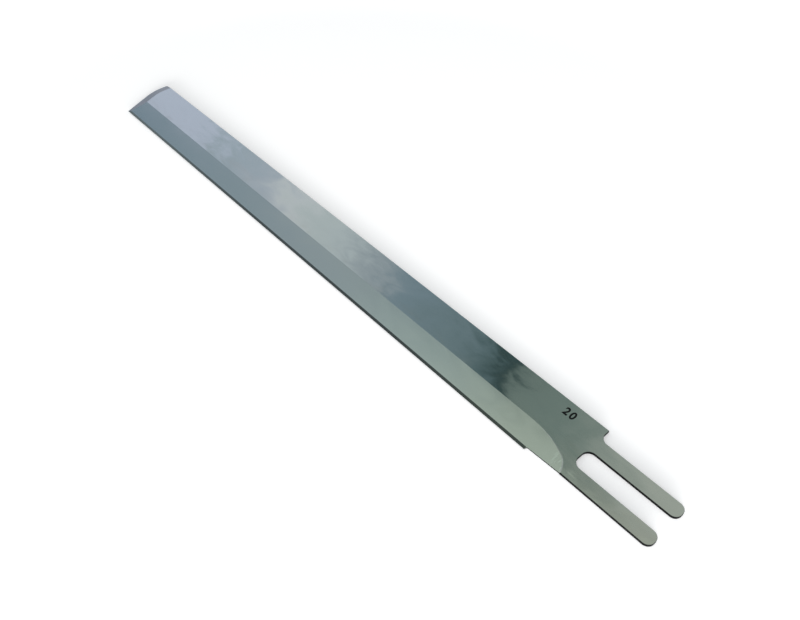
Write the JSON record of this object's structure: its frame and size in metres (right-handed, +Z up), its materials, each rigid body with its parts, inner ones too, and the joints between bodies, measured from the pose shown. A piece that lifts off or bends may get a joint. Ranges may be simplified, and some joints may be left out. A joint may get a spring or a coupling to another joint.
{
  "type": "cloth cutting machine blade",
  "caption": "Long flat steel knife with a bevelled cutting edge, a slanted tip and a slotted fork, for a straight knife cloth cutting machine.",
  "frame": {"origin": "middle of the blade's length and width, on its underside", "axes": "+X along the blade towards the ends of the fork, +Y towards its back, +Z up through its thickness"},
  "size_m": [0.2466, 0.0202, 0.0009],
  "materials": {
    "ground_steel": "finely ground to a soft shine, with grind lines along the blade",
    "etched_mark": "dark etched figures, matt"
  },
  "bodies": {
    "root": {"blade": "ground_steel"}
  },
  "joints": []
}
